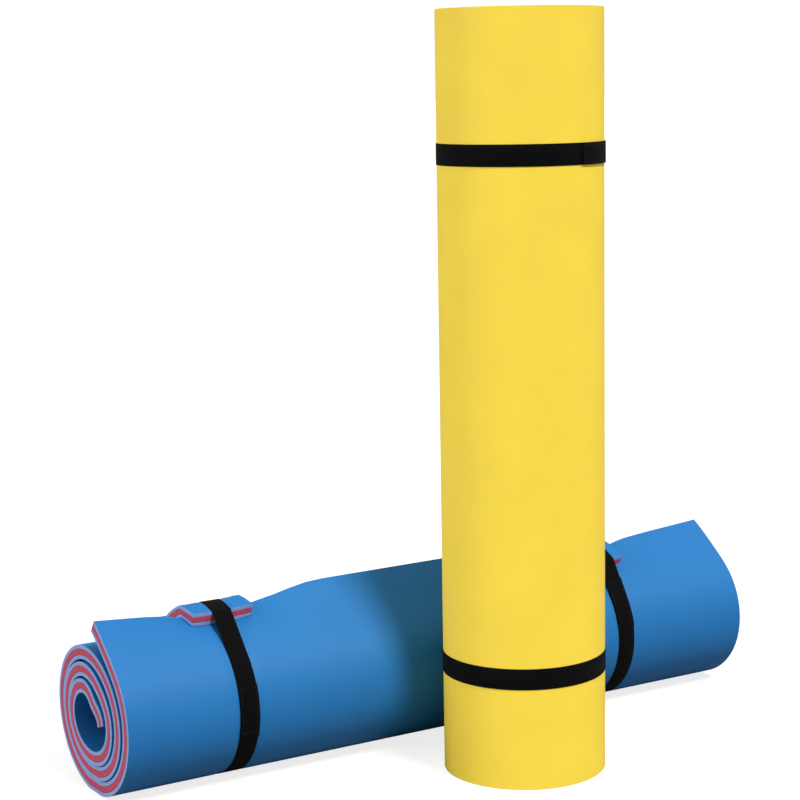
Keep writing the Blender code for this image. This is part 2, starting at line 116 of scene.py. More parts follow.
# Points at which a strap feels its roll, the length of one of its faces, and steps of a seam across it
TAUT_STEPS = 180
STRIP_STEP = 0.004
SEAM_STEPS = 12
# How much of the webbing's thickness its edges are rounded by, and the faces of a stitch
EDGE_ROUNDING = 0.4
STITCH_SEGMENTS = 8
STITCH_RINGS = 5
# The floor reaches this many roll lengths each way, past what the camera sees
FLOOR_REACH = 60
SENSOR_WIDTH = 36
WHITE = "FFFFFF"
FLOOR_GREY = "8C8C8C"


def linear(hex_colour):
    """An sRGB hex colour as linear red, green, blue and alpha."""
    channels = [int(hex_colour[i : i + 2], 16) / 255 for i in (0, 2, 4)]
    return (*(c / 12.92 if c <= 0.04045 else ((c + 0.055) / 1.055) ** 2.4 for c in channels), 1.0)


def number(name, default, description, **options):
    """A number that a user can change."""
    return FloatProperty(name=name, description=description, default=default, **options)


def length(name, default, description):
    """A length that a user can change."""
    return number(name, default, description, unit="LENGTH", precision=4)


def angle(name, degrees, description):
    """An angle that a user can change."""
    return number(name, math.radians(degrees), description, subtype="ANGLE", unit="ROTATION")


def colour(name, hex_colour, description):
    """A colour that a user can change."""
    look = {"size": 4, "subtype": "COLOR", "min": 0, "max": 1}
    return FloatVectorProperty(name=name, description=description, default=linear(hex_colour), **look)


class FoamSettings(bpy.types.PropertyGroup):
    """The laminated foam sheet and how each roll is wound."""

    sheet_length: length("Sheet length", 2.75, "Length of a mat laid flat")
    sheet_width: length("Sheet width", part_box("yellow_mat_core")[1].z, "Width of a mat, length of a roll")
    sheet_thickness: length("Sheet thickness", 0.035, "All three plies together")
    skin_thickness: length("Skin thickness", 0.010, "One coloured outer ply")
    bond_gap: length("Bond gap", 0.0003, "Seam between two plies")
    cut_round: length("Cut rounding", 0.0012, "How far a knife-cut edge is rounded")
    blue_start_radius: length("Blue start radius", 0.0735, "Where the blue sheet's winding starts")
    blue_wrap_gap: length("Blue wrap gap", 0.0035, "Air between the blue roll's turns")
    blue_edge_angle: angle("Blue edge angle", 86.5, "Where the blue sheet's free edge is, halfway along")
    blue_twist: angle("Blue twist", 5, "Turn of the blue roll from its near end to its far end")
    yellow_start_radius: length("Yellow start radius", 0.0735, "Where the yellow sheet's winding starts")
    yellow_wrap_gap: length("Yellow wrap gap", 0.0039, "Air between the yellow roll's turns")
    yellow_edge_angle: angle("Yellow edge angle", 46, "Where the yellow sheet's free edge is")
    yellow_twist: angle("Yellow twist", 0, "Turn of the yellow roll from its lower end to its upper end")
    tip_slant: length("Tip slant", 0.009, "How much longer the bore side of the sheet's inner end is")
    tuck_depth: length("Tuck depth", 0.021, "How far the first turn dips behind its straight start")
    tuck_angle: angle("Tuck angle", 45, "Where on each turn the dip is")
    tuck_spread: angle("Tuck spread", 38, "Half the reach of the dip")
    tuck_kept: number("Tuck kept", 0.55, "Share of the dip that the next turn keeps", min=0, max=1)
    steps_per_turn: IntProperty(name="Steps per turn", description="Facets in a turn", default=96, min=24)


class LyingSettings(bpy.types.PropertyGroup):
    """What lying on its side does to the blue roll, and how its free edge stands off it."""

    oval: length("Oval", 0.0075, "How far the roll is pressed out of round")
    sag: length("Sag per turn", 0.0015, "How far each inner turn hangs below the next")
    end_slant: length("End slant", 0.012, "How far the first turn sticks out of the near end")
    floor_sink: length("Floor sink", 0.0028, "Depth of the flat that the floor presses")
    flap_angle: angle("Flap angle", 45, "How much of the last turn stands off")
    flap_power: number("Flap power", 2.4, "How late the flap lifts", min=1)
    near_end_rise: length("Near end rise", 0.0375, "Lift of the free edge at the near end")
    middle_rise: length("Middle rise", 0.0515, "Lift of the free edge in the middle")
    far_end_rise: length("Far end rise", 0.042, "Lift of the free edge at the far end")
    strap_dip: length("Strap dip", 0.0005, "How far a strap pulls the free edge in")
    flap_return: length("Flap return", 0.33, "Distance from a strap at which the middle rise is reached")


class StrapSettings(bpy.types.PropertyGroup):
    """The webbing straps and their hook and loop patches."""

    width: length("Width", 0.0508, "Width of the webbing")
    thickness: length("Thickness", 0.0012, "Thickness of the webbing")
    patch_thickness: length("Patch thickness", 0.0007, "Thickness of a hook or loop patch")
    lap: length("Lap", 0.14, "Length of the tab that laps over the band")
    step: length("Step", 0.015, "Length in which the tab climbs on to the band")
    patch_inset: length("Patch inset", 0.004, "How much narrower a patch is than the webbing")
    touch_gap: length("Touch gap", 0.0003, "Between pieces that touch")
    groove_depth: length("Groove depth", 0.0015, "How far a strap sinks into the lying roll")
    groove_clearance: length("Groove clearance", 0.0025, "From a strap's edge to its groove's")
    groove_ramp: length("Groove ramp", 0.014, "Width of the groove's sloping side")
    groove_fade: angle("Groove fade", 26, "Distance from the free edge at which the groove ends")


class PadSettings(bpy.types.PropertyGroup):
    """The foam pads between the straps and the rolls."""

    pad_length: length("Length", 0.16, "Length along the roll")
    width: length("Width", 0.13, "Width round the roll")
    press: length("Press", 0.0018, "How far the strap presses the pad in")
    wing_gap: length("Wing gap", 0.0007, "Extra gap under the pad's two ends")
    fall_slope: number("Fall slope", 0.75, "Slope behind the free edge", min=0)
    near_over_flap: length("Near over flap", 0.05, "How much of the near pad's width is on the free edge")
    far_over_flap: length("Far over flap", 0.105, "How much of the far pad's width is on the free edge")
    lower_over_flap: length("Lower over flap", 0.058, "How much of the lower pad is on the free edge")
    upper_over_flap: length("Upper over flap", 0.058, "How much of the upper pad is on the free edge")
    near_shift: length("Near shift", 0.0045, "From the near strap to the middle of its pad's front edge")
    far_shift: length("Far shift", -0.026, "From the far strap to the middle of its pad")
    near_skew: length("Near skew", -0.025, "How far the near pad's back edge is moved along the roll")
    fold_squash: number("Fold squash", 0.16, "Share of its thickness that a pad loses at its fold's ends")
    fold_reach: angle("Fold reach", 9, "Distance from the fold at which half of the squash is left")


class StitchSettings(bpy.types.PropertyGroup):
    """The seams that hold the patches on the webbing."""

    pitch: length("Pitch", 0.004, "From one stitch to the next")
    stitch_length: length("Length", 0.0032, "Length of a stitch")
    thread: length("Thread", 0.0007, "Thickness of the thread")
    inset: length("Inset", 0.0035, "From a seam to the patch's edge")


class FinishSettings(bpy.types.PropertyGroup):
    """Colours of the foam, webbing and thread."""

    blue_skin: colour("Blue skin", "206FAF", "Skin of the blue foam")
    blue_cut: colour("Blue cut", "8FA6DA", "Knife-cut edge of the blue foam")
    yellow_skin: colour("Yellow skin", "FADA48", "Skin of the yellow foam")
    yellow_cut: colour("Yellow cut", "F7DF7C", "Knife-cut edge of the yellow foam")
    red_cut: colour("Red core", "C6485E", "Knife-cut edge of the core")
    webbing: colour("Webbing", "050506", "Woven strap")
    patch: colour("Patch", "080809", "Hook and loop patches")
    thread: colour("Thread", "141416", "Sewing thread")


class StageSettings(bpy.types.PropertyGroup):
    """Camera, lamps and floor. A lamp's heading is from straight in front towards the right."""

    eye: FloatVectorProperty(
        name="Eye", description="Place of the camera", default=(-2.743, -4.2126, 1.6785), unit="LENGTH"
    )
    heading: angle("Heading", 31.5, "Turn of the view from straight back towards the right")
    pitch: angle("Pitch", 8.94, "How far the camera looks down")
    roll: angle("Roll", -0.97, "Tilt of the camera about its view")
    lens: number("Lens", 92.72, "Focal length in mm on a 36 mm sensor")
    key_heading: angle("Key heading", 9, "Where the main lamp is")
    key_height: angle("Key height", 52, "How high the main lamp is")
    key_spread: angle("Key spread", 14, "Width of the main lamp, which softens its shadows")
    key_power: number("Key power", 2.9, "Strength of the main lamp")
    side_heading: angle("Side heading", -105, "Where the side lamp is")
    side_height: angle("Side height", 20, "How high the side lamp is")
    side_spread: angle("Side spread", 40, "Width of the side lamp")
    side_power: number("Side power", 1.5, "Strength of the side lamp")
    top_heading: angle("Top heading", 0, "Where the top lamp leans")
    top_height: angle("Top height", 90, "How high the top lamp is")
    top_spread: angle("Top spread", 80, "Width of the top lamp")
    top_power: number("Top power", 0.4, "Strength of the top lamp")
    fill_power: number("Fill power", 0.42, "Strength of the light from all sides")
    floor_glow: number("Floor glow", 0.8, "How much lighter the camera sees the floor")


SETTINGS = {
    "swim_mat_foam": FoamSettings,
    "swim_mat_lying": LyingSettings,
    "swim_mat_straps": StrapSettings,
    "swim_mat_pads": PadSettings,
    "swim_mat_stitches": StitchSettings,
    "swim_mat_finish": FinishSettings,
    "swim_mat_stage": StageSettings,
}


def settings(name):
    """The scene's settings of this kind, such as "foam"."""
    return getattr(bpy.context.scene, f"swim_mat_{name}")


def feed(node, inputs):
    """Fills a node's inputs, given in order or by name, from sockets, nodes or values."""
    for key, value in inputs.items() if isinstance(inputs, dict) else enumerate(inputs):
        if isinstance(value, bpy.types.Node):
            value = value.outputs[0]
        if isinstance(value, bpy.types.NodeSocket):
            node.id_data.links.new(value, node.inputs[key])
        else:
            node.inputs[key].default_value = value


def add_node(tree, kind, inputs=(), **options):
    """Adds a node with its options and inputs. A kind in capitals is a Math node's operation."""
    if kind.isupper():
        kind, options = "ShaderNodeMath", {"operation": kind}
    node = tree.nodes.new(kind)
    for name, value in options.items():
        setattr(node, name, value)
    feed(node, inputs)
    return node


def new_tree(name, inputs, output):
    """An empty geometry node tree with named inputs and one output.

    Gives the tree, a function that adds a node to it, its inputs' sockets and the node it ends in."""
    tree = bpy.data.node_groups.new(name, "GeometryNodeTree")
    for socket, kind in inputs.items():
        tree.interface.new_socket(socket, in_out="INPUT", socket_type="NodeSocket" + kind)
    tree.interface.new_socket(output, in_out="OUTPUT", socket_type="NodeSocket" + output)
    add = partial(add_node, tree)
    return tree, add, add("NodeGroupInput").outputs, add("NodeGroupOutput")


def apply_tree(piece, tree, values):
    """Runs a tree on a piece with these input values, and keeps the result as the piece's plain mesh."""
    modifier = piece.modifiers.new(tree.name, "NODES")
    modifier.node_group = tree
    for item in tree.interface.items_tree:
        if item.in_out == "INPUT" and item.name in values:
            modifier[item.identifier] = values[item.name]
    evaluated = piece.evaluated_get(bpy.context.evaluated_depsgraph_get())
    made = bpy.data.meshes.new_from_object(evaluated)
    piece.modifiers.clear()
    raw = piece.data
    piece.data = made
    bpy.data.meshes.remove(raw)
    made.name = piece.name
    return piece


def new_piece(name, points, edges=(), faces=(), materials=()):
    """A mesh object in the room's own coordinates."""
    mesh = bpy.data.meshes.new(name)
    mesh.from_pydata(points, edges, faces)
    for material in materials:
        mesh.materials.append(material)
    piece = bpy.data.objects.new(name, mesh)
    bpy.context.scene.collection.objects.link(piece)
    return piece


def point_faces_out(piece):
    """Closes the mesh's seams and turns its faces outwards."""
    work = bmesh.new()
    work.from_mesh(piece.data)
    bmesh.ops.remove_doubles(work, verts=work.verts, dist=SAME_POINT)
    bmesh.ops.recalc_face_normals(work, faces=work.faces)
    work.to_mesh(piece.data)
    work.free()


def finish_foam(piece, node, body, slot):
    """Rounds a piece of foam's cut edges, and makes it show in place of its CAD node, on its body."""
    point_faces_out(piece)
    piece.data.shade_smooth()
    bevel = piece.modifiers.new("cut edges", "BEVEL")
    bevel.width = settings("foam").cut_round
    bevel.segments = BEVEL_SEGMENTS
    bevel.limit_method = "ANGLE"
    bevel.angle_limit = SHARP_ANGLE
    bevel.harden_normals = True
    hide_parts(node)
    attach(piece, body)


# Materials. Each maker takes what adds a node and a tint, and gives the Principled shader's inputs


def new_material(name):
    """An empty node material, a function that adds a node to it, and its Principled shader."""
    material = bpy.data.materials.new(name)
    material.use_nodes = True
    tree = material.node_tree
    return material, partial(add_node, tree), tree.nodes["Principled BSDF"]


def shaded(add, tint, shade, relief, **sense):
    """A shader's colour, which a changing shade makes darker and lighter, and its normal."""
    grey = add("ShaderNodeCombineXYZ", (shade, shade, shade))
    colours = {"Factor": 1.0, "A": tint, "B": grey}
    toned = add("ShaderNodeMix", colours, data_type="RGBA", blend_type="MULTIPLY")
    return {"Base Color": toned.outputs["Result"], "Normal": add("ShaderNodeBump", relief, **sense)}


def vinyl_foam_skin(add, tint):
    """Calendered vinyl skin of closed-cell foam.

    Its embossing gives a satin sheen that breaks up, and its colour drifts a little over a hand's width."""
    place = add("ShaderNodeTexCoord").outputs["Object"]
    # The real grain is about 0.7 mm, too fine for the render, so it is drawn at 2.5 mm
    grain = add("ShaderNodeTexVoronoi", {"Vector": place, "Scale": 400.0}, feature="SMOOTH_F1")
    # Hand-sized dents and drifts of colour, about 120 mm apart
    drift = add("ShaderNodeTexNoise", {"Vector": place, "Scale": 8.0, "Detail": 3.0})
    shade = add("ShaderNodeMapRange", {"Value": drift, "To Min": 0.94, "To Max": 1.05})
    matte = add("ShaderNodeMapRange", {"Value": drift, "To Min": 0.52, "To Max": 0.64})
    dents = add("ShaderNodeBump", {"Height": drift, "Strength": 0.25, "Distance": 0.004})
    relief = {"Height": grain, "Strength": 0.2, "Distance": 0.0004, "Normal": dents}
    look = shaded(add, tint, shade, relief)
    return {**look, "Roughness": matte, "IOR": 1.47, "Specular IOR Level": 0.25}


def knife_cut_foam(add, tint):
    """Closed-cell foam as a knife leaves it: thousands of cut bubbles, so it is pale, dull and speckled."""
    place = add("ShaderNodeTexCoord").outputs["Object"]
    # Real cells are about 0.5 mm, too fine for the render, so they are drawn at 1.6 mm
    cells = add("ShaderNodeTexVoronoi", {"Vector": place, "Scale": 620.0})
    # The knife's strokes, about 11 mm apart
    strokes = add("ShaderNodeTexNoise", {"Vector": place, "Scale": 90.0, "Detail": 4.0})
    both = add("MULTIPLY", (cells.outputs["Distance"], strokes))
    shade = add("ShaderNodeMapRange", {"Value": both, "From Max": 0.4, "To Min": 1.06, "To Max": 0.8})
    relief = {"Height": both, "Strength": 0.5, "Distance": 0.0008}
    look = shaded(add, tint, shade, relief, invert=True)
    return {**look, "Roughness": 0.85, "IOR": 1.45}


def woven_polyester(add, tint):
    """Heavy polyester webbing: warp ribs along the strap, each crossed by the weft, with a faint sheen and
    painted light and shade on the weave.
    """
    along_across = add("ShaderNodeSeparateXYZ", (add("ShaderNodeUVMap", uv_map="UVMap"),))
    # Real ribs are 1.6 mm apart, and are drawn at 2.5 mm to show, with a weft thread each 3 mm
    rib_spacing, weft_spacing = 0.0025, 0.003
    ribs = add("MULTIPLY", (along_across.outputs["Y"], TURN / rib_spacing))
    weft = add("MULTIPLY", (along_across.outputs["X"], TURN / weft_spacing))
    # Each rib's crossings lie half a thread beyond its neighbour's, as in a twill
    cross = add("SINE", (add("MULTIPLY_ADD", (ribs, 0.5, weft)),))
    height = add("ADD", (add("SINE", (ribs,)), cross))
    # Painted light and shade: the colour follows the weave's height, darker in the hollows between the
    # threads and lighter on their crests
    painted_weave_light_and_shade = {"Value": height, "From Min": -2.0, "From Max": 2.0, "To Min": 0.6, "To Max": 1.5}
    shade = add("ShaderNodeMapRange", painted_weave_light_and_shade)
    relief = {"Height": height, "Strength": 0.6, "Distance": 0.0003}
    look = shaded(add, tint, shade, relief)
    return {**look, "Roughness": 0.85, "Specular IOR Level": 0.08, "Sheen Weight": 0.01}


def brushed_nylon_pile(add, tint):
    """Hook and loop tape: a dense nylon pile that drinks the light and has a soft halo."""
    place = add("ShaderNodeTexCoord").outputs["Object"]
    # Loops are 0.3 mm wires, drawn in 1.2 mm tufts
    tufts = add("ShaderNodeTexNoise", {"Vector": place, "Scale": 800.0, "Detail": 4.0})
    shade = add("ShaderNodeMapRange", {"Value": tufts, "To Min": 0.4, "To Max": 1.8})
    relief = {"Height": tufts, "Strength": 0.8, "Distance": 0.0005}
    look = shaded(add, tint, shade, relief)
    return {**look, "Roughness": 0.9, "Specular IOR Level": 0.2, "Sheen Weight": 0.04}


def bonded_thread(add, tint):
    """Bonded polyester sewing thread: twisted, so it glints along its length."""
    place = add("ShaderNodeTexCoord").outputs["Object"]
    # The yarn's twists, about 0.7 mm apart
    twist = add("ShaderNodeTexNoise", {"Vector": place, "Scale": 1500.0})
    bump = add("ShaderNodeBump", {"Height": twist, "Strength": 0.4, "Distance": 0.0001})
    return {"Base Color": tint, "Normal": bump, "Roughness": 0.45}


MATERIAL_MAKERS = {
    "skin": vinyl_foam_skin,
    "cut": knife_cut_foam,
    "webbing": woven_polyester,
    "patch": brushed_nylon_pile,
    "thread": bonded_thread,
}


def finish(name):
    """The material of this name, made when it is first asked for."""
    made = bpy.data.materials.get(name)
    if made:
        return made
    material, add, shader = new_material(name)
    feed(shader, MATERIAL_MAKERS[name.split("_")[-1]](add, getattr(settings("finish"), name)))
    return material


def foam_finish(roll_name, ply):
    """A ply's face material, its cut edges' material and a slot name."""
    if ply == "core":
        return finish("red_cut"), finish("red_cut"), "red_foam"
    return finish(f"{roll_name}_skin"), finish(f"{roll_name}_cut"), f"{roll_name}_foam"


# The wound mats


def direction(turned):
    """Unit vector at an angle in the section plane."""
    return Vector((math.cos(turned), math.sin(turned)))


def smooth_step(share):
    """A share, kept between 0 and 1, that starts and ends gently."""
    share = min(1.0, max(0.0, share))
    return share * share * (3 - 2 * share)


def finer_near(end, places, reach, coarse, fine):
    """Lengths from zero to end in coarse steps, and in fine steps within reach of each place."""
    found = [0.0]
    while found[-1] < end:
        near = min((abs(found[-1] - p) for p in places), default=end)
        found.append(found[-1] + (fine if near < reach else coarse))
    found[-1] = end
    return found


def strap_place(roll_name, strap):
    """The middle of a strap, in the room's coordinate along its roll."""
    low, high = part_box(f"{roll_name}_{strap}_strap_band")
    return (low.x + high.x) / 2 if roll_name == "blue" else (low.z + high.z) / 2


class Roll:
    """How one sheet is wound, and how its section plane lies in the room."""

    def __init__(self, name):
        foam = settings("foam")
        self.name = name
        self.lying = name == "blue"
        self.start_radius = getattr(foam, f"{name}_start_radius")
        self.pitch = foam.sheet_thickness + getattr(foam, f"{name}_wrap_gap")
        self.edge_angle = getattr(foam, f"{name}_edge_angle")
        self.twist = getattr(foam, f"{name}_twist")
        root = math.sqrt(self.start_radius**2 + 2 * self.pitch * foam.sheet_length / TURN)
        self.turns = (root - self.start_radius) / self.pitch
        low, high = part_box(f"{name}_mat_outer_skin")
        self.end = high.x - foam.sheet_width if self.lying else low.z
        self.width = foam.sheet_width
        self.places = [strap_place(name, strap) for strap in STRAPS[name]]
        self.axis = Vector((1, 0, 0)) if self.lying else Vector((0, 0, 1))

    def edge_at(self, along):
        """Angle of the free edge at a place along the roll."""
        return self.edge_angle + self.twist * ((along - self.end) / self.width - 0.5)

    def in_room(self, point, along):
        """A section point in the room."""
        return Vector((along, -point.x, point.y) if self.lying else (point.x, point.y, along))

    def in_section(self, point):
        """A room point in the section plane."""
        return Vector((-point.y, point.z) if self.lying else (point.x, point.y))


SPIRAL_NAMES = (
    *("Turns", "Start Radius", "Pitch", "Start Angle", "Oval", "Sag", "Flap Turns", "Flap Power"),
    *("Tuck Depth", "Tuck Turn", "Tuck Spread", "Tuck Kept"),
)
WINDING_NAMES = (
    *("Sheet Width", "Half Thickness", "Outer Depth", "Inner Depth", "Twist", "Tip Slant", "Stack"),
    *("Lowest Rise", "Highest Rise", "First Strap", "Second Strap", "End", "End Slant", "Floor"),
    *("Groove Depth", "Groove Half Width", "Groove Ramp", "Groove Fade"),
)


def spiral_tree():
    """Node group that gives the middle of the sheet at a number of turns from its start."""
    sizes = dict.fromkeys(("Turn", "Rise", *SPIRAL_NAMES), "Float")
    tree, add, size, made = new_tree("spiral line", sizes, "Vector")
    turn = size["Turn"]
    turned = add("MULTIPLY_ADD", (turn, TURN, size["Start Angle"]))

    # The first turn dips behind the sheet's straight start, and each later turn dips less
    past = add("SUBTRACT", (turn, size["Tuck Turn"]))
    wrap = add("ROUND", (past,))
    beside = add("DIVIDE", (add("SUBTRACT", (past, wrap)), size["Tuck Spread"]))
    squared = add("POWER", (beside, 2.0))
    bell = add("EXPONENT", (add("SUBTRACT", (0.0, squared)),))
    dip = add("MULTIPLY", (bell, add("POWER", (size["Tuck Kept"], wrap))))
    dip = add("MULTIPLY", (dip, size["Tuck Depth"]))

    # The free edge stands off over the last part of the last turn
    left = add("SUBTRACT", (turn, size["Turns"]))
    lifted = add("ADD", (add("DIVIDE", (left, size["Flap Turns"])), 1.0))
    lifted = add("POWER", (add("MAXIMUM", (lifted, 0.0)), size["Flap Power"]))

    radius = add("MULTIPLY_ADD", (turn, size["Pitch"], size["Start Radius"]))
    radius = add("SUBTRACT", (radius, dip))
    radius = add("MULTIPLY_ADD", (lifted, size["Rise"], radius))
    twice = add("COSINE", (add("MULTIPLY", (turned, 2.0)),))
    radius = add("MULTIPLY_ADD", (twice, size["Oval"], radius))
    sunk = add("MULTIPLY", (left, size["Sag"]))
    x = add("MULTIPLY", (add("COSINE", (turned,)), radius))
    y = add("MULTIPLY_ADD", (add("SINE", (turned,)), radius, sunk))
    feed(made, (add("ShaderNodeCombineXYZ", (x, y, 0.0)),))
    return tree


def two_faced(add, size):
    """The flat ply with a second face and its materials, closed along its edges."""
    sheet = size["Geometry"]
    up = add("GeometryNodeExtrudeMesh", {"Mesh": sheet, "Offset": (0.0, 0.0, 1.0), "Individual": False})
    block = add("GeometryNodeJoinGeometry", (up.outputs["Mesh"],))
    feed(block, (add("GeometryNodeFlipFaces", {"Mesh": sheet}),))
    block = add("GeometryNodeSetMaterial", {"Geometry": block, "Material": size["Face"]})
    cut = {"Geometry": block, "Selection": up.outputs["Side"], "Material": size["Cut"]}
    block = add("GeometryNodeSetMaterial", cut)
    return add("GeometryNodeMergeByDistance", {"Geometry": block, "Distance": WELD_REACH})


def free_edge_rise(add, size, share, rise_shares):
    """Lift of the free edge at a share of the roll's length, on a smooth curve through some shares."""
    profile = add("ShaderNodeFloatCurve", {"Value": share})
    curve = profile.mapping.curves[0]
    for _ in rise_shares[2:]:
        curve.points.new(0.0, 0.0)
    for point, (place, height) in zip(curve.points, rise_shares):
        point.location = (place, height)
        point.handle_type = "AUTO_CLAMPED"
    profile.mapping.update()
    rises = (profile, 0.0, 1.0, size["Lowest Rise"], size["Highest Rise"])
    return add("ShaderNodeMapRange", rises, clamp=False)


def strap_groove(add, size, along, before_edge):
    """How deep a strap sinks into the outer face, but not where it passes over the pad."""
    off_straps = [add("SUBTRACT", (along, size[strap])) for strap in ("First Strap", "Second Strap")]
    nearest = add("MINIMUM", [add("ABSOLUTE", (off,)) for off in off_straps])
    foot = add("ADD", (size["Groove Half Width"], size["Groove Ramp"]))
    slope = (nearest, size["Groove Half Width"], foot, size["Groove Depth"], 0.0)
    groove = add("ShaderNodeMapRange", slope, interpolation_type="SMOOTHSTEP")
    first_half = add("MULTIPLY", (size["Groove Fade"], 0.5))
    for turns_off in (before_edge, add("SUBTRACT", (1.0, before_edge))):
        fade = add("ShaderNodeMapRange", (turns_off, first_half, size["Groove Fade"], 0.0, 1.0))
        groove = add("MULTIPLY", (groove, fade))
    return groove


def winding_tree(rise_shares):
    """Node tree that winds up a flat ply.

    The flat ply has its turns in x and its width in y. It gets a second face, and then each point goes to
    its place on the roll. rise_shares is the free edge's lift along the roll, as (place, share) pairs."""
    spiral = spiral_tree()
    sizes = {"Geometry": "Geometry", **dict.fromkeys((*SPIRAL_NAMES, *WINDING_NAMES), "Float")}
    sizes |= {"Pole": "Vector", "Lying": "Bool", "Face": "Material", "Cut": "Material"}
    tree, add, size, made = new_tree("wind up", sizes, "Geometry")
    block = two_faced(add, size)

    flat = add("ShaderNodeSeparateXYZ", (add("GeometryNodeInputPosition"),))
    turn, along, layer = flat.outputs
    share = add("DIVIDE", (along, size["Sheet Width"]))
    rise = free_edge_rise(add, size, share, rise_shares)
    off_middle = add("SUBTRACT", (share, 0.5))
    start_angle = add("MULTIPLY_ADD", (off_middle, size["Twist"], size["Start Angle"]))

    before_edge = add("SUBTRACT", (size["Turns"], turn))
    outer = add("ADD", (size["Outer Depth"], strap_groove(add, size, along, before_edge)))
    depth = add("ShaderNodeMapRange", (layer, 0.0, 1.0, outer, size["Inner Depth"]))

    # The sheet's inner end is cut on a slant, so the deeper a point is, the further back it starts
    near_tip = add("ShaderNodeMapRange", (turn, 0.0, TIP_REACH, 1.0, 0.0))
    slant = add("MULTIPLY", (add("MULTIPLY", (near_tip, size["Tip Slant"])), depth))
    slanted = add("SUBTRACT", (turn, slant))

    # The line a little before and after gives its direction, and so the way out of the sheet
    line = {}
    for name, moved in (("behind", -FEELER), ("here", 0.0), ("ahead", FEELER)):
        inputs = {name: size[name] for name in SPIRAL_NAMES}
        inputs |= {"Turn": add("ADD", (slanted, moved)), "Rise": rise, "Start Angle": start_angle}
        line[name] = add("GeometryNodeGroup", node_tree=spiral)
        feed(line[name], inputs)
    run = add(VECTOR_MATH, (line["ahead"], line["behind"]), operation="SUBTRACT")
    run = add(VECTOR_MATH, (run,), operation="NORMALIZE")
    out = add(VECTOR_MATH, (run, (0.0, 0.0, 1.0)), operation="CROSS_PRODUCT")
    reach = add("SUBTRACT", (size["Half Thickness"], depth))
    away = add(VECTOR_MATH, {"Vector": out, "Scale": reach}, operation="SCALE")
    placed = add(VECTOR_MATH, (line["here"], away), operation="ADD")
    placed = add(VECTOR_MATH, (placed, size["Pole"]), operation="ADD")
    x, y, _ = add("ShaderNodeSeparateXYZ", (placed,)).outputs

    # On the floor each turn is pressed flat on the ones below it
    below = add("FLOOR", (before_edge,))
    lowest = add("MULTIPLY_ADD", (below, size["Stack"], size["Floor"]))
    height = add("MAXIMUM", (y, add("ADD", (lowest, depth))))

    # The inner turns stick out of one end
    inner = add("SUBTRACT", (1.0, add("DIVIDE", (turn, size["Turns"]))))
    stuck_out = add("SUBTRACT", (along, add("MULTIPLY", (inner, size["End Slant"]))))
    along_roll = add("ADD", (stuck_out, size["End"]))
    lying = add("ShaderNodeCombineXYZ", (along_roll, add("MULTIPLY", (x, -1.0)), height))
    standing = add("ShaderNodeCombineXYZ", (x, height, along_roll))
    either = {"Switch": size["Lying"], "False": standing, "True": lying}
    place = add("GeometryNodeSwitch", either, input_type="VECTOR")
    feed(made, (add("GeometryNodeSetPosition", {"Geometry": block, "Position": place}),))
    return tree


def rise_knots(roll):
    """(length along the roll, lift) of the lying roll's free edge. It is held down at each strap."""
    lying = settings("lying")
    straps = settings("straps")
    near, far = (place - roll.end for place in roll.places)
    held = straps.width / 2 + straps.groove_clearance
    knots = [(0.0, lying.near_end_rise), (roll.width, lying.far_end_rise)]
    for strap, outwards in ((near, -1), (far, 1)):
        knots += [(strap - held, -lying.strap_dip), (strap + held, -lying.strap_dip)]
        for side, shares in ((outwards, TOWARDS_END_SHARES), (-outwards, TOWARDS_MIDDLE_SHARES)):
            reach = side * lying.flap_return
            knots += [(strap + reach * off, lying.middle_rise * rise) for off, rise in shares]
    return sorted(knots)


def flat_ply(name, roll, ply):
    """A flat ply, with its turns in x and its width in y, and more rows near the lying roll's straps."""
    foam = settings("foam")
    places = [place - roll.end for place in roll.places] if roll.lying else []
    coarse = foam.sheet_width / PLY_ROWS
    fine = coarse / (FINER_OUTER_ROWS if ply == "outer_skin" else FINER_INNER_ROWS)
    widths = finer_near(foam.sheet_width, places, settings("pads").pad_length, coarse, fine)
    count = math.ceil(roll.turns * foam.steps_per_turn)
    points = [(roll.turns * i / count, width, 0.0) for i in range(count + 1) for width in widths]
    row = len(widths)
    faces = [
        (i * row + j, (i + 1) * row + j, (i + 1) * row + j + 1, i * row + j + 1)
        for i in range(count)
        for j in range(row - 1)
    ]
    return new_piece(name, points, faces=faces)


def ply_depths():
    """Depths of each ply's two faces below the sheet's outer face."""
    foam = settings("foam")
    skin, gap, whole = foam.skin_thickness, foam.bond_gap, foam.sheet_thickness
    return {
        "outer_skin": (0.0, skin),
        "core": (skin + gap, whole - skin - gap),
        "inner_skin": (whole - skin, whole),
    }


